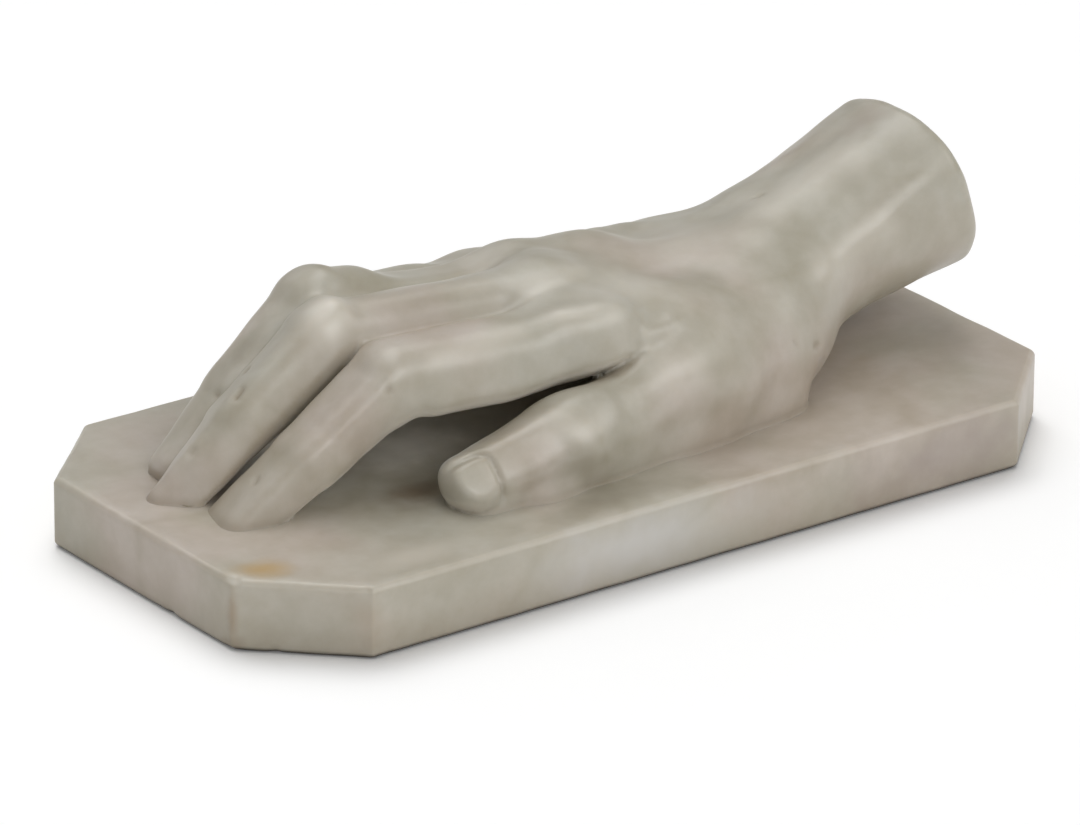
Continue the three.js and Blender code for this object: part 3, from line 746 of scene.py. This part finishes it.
SKIN_MARGIN = 6.0
SKIN_FLOOR = -1.5
hand_low, hand_high = (np.array(corner) / MM - (0, 0, PLINTH_TOP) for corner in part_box("hand"))
carved, carved_faces = skin(hand_distance, np.append((hand_low - SKIN_MARGIN)[:2], SKIN_FLOOR),
                            hand_high + SKIN_MARGIN)
carved = settled(hand_distance, carved)
_, outward = slope_of(hand_distance, carved)
outward = outward / np.linalg.norm(outward, axis=1)[:, None]

# A hollow is where stone lies close outside the skin, at three distances. There brown dirt and
#  painted shade darken the stone; painted shade darkens the foot, and dirt the pits. The stone is
#  painted paler on the underside as painted light, and on knuckles and ridges as painted
#  highlights.
HOLLOW_REACHES = (3.0, 6.0, 12.0)
HOLLOW_DIRT_AND_SHADE = 0.25
HAND_FOOT_SHADE = 0.35
UNDERSIDE_LIGHT = 0.85
height = carved[:, 2]
hollow = np.zeros(len(carved))
for reach in HOLLOW_REACHES:
    close = np.clip(1 - hand_distance(carved + reach * outward) / reach, 0, 1)
    hollow += close / len(HOLLOW_REACHES)
hollow = eased(hollow, 0.25, 0.75, 0, 1) * eased(height, 2, 6, 0, 1)
# Brown dirt and painted shade in the hollows, and painted shade along the foot of the hand.
dirt_and_shade = np.maximum(HOLLOW_DIRT_AND_SHADE * hollow, HAND_FOOT_SHADE * eased(height, 0.4, 3.0, 1, 0))
for path, radius, _, share in PITS:
    dirt_and_shade = np.maximum(dirt_and_shade, share * stroke(carved, path, radius))
# Painted light: downward-facing skin towards the fingers is painted paler.
crest = eased(outward[:, 2], -0.7, -0.2, 1, 0) * eased(carved[:, 0], 20, 40, 1, 0)
crest = UNDERSIDE_LIGHT * crest
# Painted highlights: pale stone painted on the knuckles, joints and ridges.
for path, radius, share in PAINTED_HIGHLIGHTS:
    crest = np.maximum(crest, share * stroke(carved, path, radius))

# The heights of these stains and patches of painted shade are above the table, as on the plinth.
HAND_STAINS_AND_PAINTED_SHADE = (
    ((34, -16, 51), (16, 9, 8), "#8d8674", 0.4),     # grey on the back, over the thumb root
    ((-28, -44, 26), (24, 6, 10), "#8d8674", 0.9),   # painted shade along the thumb's lower side
    ((-77, 23, 43), (24, 8, 16), "#8d8674", 0.9),    # painted shade over the ring finger
    ((-92, 4, 37), (10, 7, 9), "#8d8674", 0.35),     # painted shade on the middle finger's end
    ((-40, -1, 57), (14, 7, 6), "#8d8674", 0.35),    # painted shade between index and middle finger
    ((96, 3, 71), (16, 14, 8), "#968475", 0.4),      # warm grey tint and painted shade on top of the stub
)
hand = piece("carved_hand", carved + (0, 0, PLINTH_TOP), carved_faces.tolist(),
             satin_marble("satin_marble_hand", HAND_STAINS_AND_PAINTED_SHADE), hollow=dirt_and_shade, crest=crest)
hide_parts("hand")
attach(hand, "root")


# Camera: a long lens far off on the thumb's side, towards the fingertips and about 23 degrees
# above the table. Its place was solved from the corners of the plinth.

SENSOR_WIDTH = 36.0
LENS = 298.5
SIGHT = 20.0
TARGET = Vector((-0.00566, -0.00234, 0.020))
DISTANCE = 2.1548
VIEW_BACK = Vector((-0.549455, -0.739062, 0.389725))
VIEW_RIGHT = Vector((0.804048, -0.594532, 0.006138))
VIEW_UP = Vector((0.227168, 0.316731, 0.920911))
camera_data = bpy.data.cameras.new("camera")
camera_data.sensor_width = SENSOR_WIDTH
camera_data.lens = LENS
camera_data.clip_end = SIGHT
camera = bpy.data.objects.new("camera", camera_data)
turned = Matrix((VIEW_RIGHT, VIEW_UP, VIEW_BACK)).transposed().to_4x4()
camera.matrix_world = Matrix.Translation(TARGET + VIEW_BACK * DISTANCE) @ turned
bpy.context.scene.collection.objects.link(camera)
bpy.context.scene.camera = camera


# Stage: a matt white table that runs out of sight under soft daylight. The lamps in front light
# the sculpture alone, and one lamp from behind lights the table alone, so that the shadow on the
# table falls to the front.

# Matt white board gives the eye plain white with a soft shadow and no shine. The camera sees it a
# little lighter than it is lit, and sees the sky as white, while the sky lights more weakly.
TABLE_HALF = 4000.0
TABLE_LIFT = 0.07
DAYLIGHT = 0.33
white = bpy.data.materials.new("white_table")
white.use_nodes = True
tree = white.node_tree
shader = tree.nodes["Principled BSDF"]
shader.inputs["Base Color"].default_value = linear("#fcfcfc")
shader.inputs["Roughness"].default_value = 0.9
shader.inputs["Emission Color"].default_value = linear("#ffffff")
seen = add(tree, "LightPath", {}).outputs["Is Camera Ray"]
lift = add(tree, "MapRange", {"Value": seen, "To Min": 0.0, "To Max": TABLE_LIFT})
tree.links.new(lift.outputs["Result"], shader.inputs["Emission Strength"])
corners = TABLE_HALF * np.array([(-1, -1, 0), (1, -1, 0), (1, 1, 0), (-1, 1, 0)], float)
table = piece("table", corners, [(0, 1, 2, 3)], white)

world = bpy.data.worlds.new("daylight")
bpy.context.scene.world = world
world.use_nodes = True
tree = world.node_tree
background = tree.nodes["Background"]
background.inputs["Color"].default_value = linear("#ffffff")
seen = add(tree, "LightPath", {}).outputs["Is Camera Ray"]
level = add(tree, "MapRange", {"Value": seen, "To Min": DAYLIGHT, "To Max": 1.0})
tree.links.new(level.outputs["Result"], background.inputs["Strength"])


def lit_alone(name, pieces):
    """A collection of the pieces that a lamp is kept to."""
    made = bpy.data.collections.new(name)
    for lit in pieces:
        made.objects.link(lit)
    return made


def sun(name, towards, strength, spread, only=None):
    """A soft sun lamp: the direction towards it, its strength, how many degrees of the sky it
    fills, and the collection that it is kept to."""
    data = bpy.data.lights.new(name, "SUN")
    data.energy = strength
    data.angle = math.radians(spread)
    lamp = bpy.data.objects.new(name, data)
    lamp.rotation_mode = "QUATERNION"
    lamp.rotation_quaternion = Vector(towards).to_track_quat("Z", "Y")
    lamp.light_linking.receiver_collection = only
    bpy.context.scene.collection.objects.link(lamp)


sculpture = lit_alone("sculpture", (plinth, hand))
sun("front_window", (0.0, -0.82, 0.57), 0.76, 30, sculpture)
sun("right_window", (0.58, -0.58, 0.57), 0.45, 30, sculpture)
sun("roof_light", (0.0, 0.0, 1.0), 0.41, 30)
sun("back_left", (-0.25, 0.43, 0.87), 0.28, 30)
sun("back_right", (0.25, 0.43, 0.87), 0.52, 30)
sun("back_low", (0.1, 0.82, 0.57), 0.25, 40)
sun("low_left", (-0.69, -0.69, 0.21), 0.3, 40, sculpture)
sun("table_light", (0.25, 0.43, 0.87), 0.87, 50, lit_alone("table_alone", (table,)))

bpy.context.scene.view_settings.view_transform = "Standard"
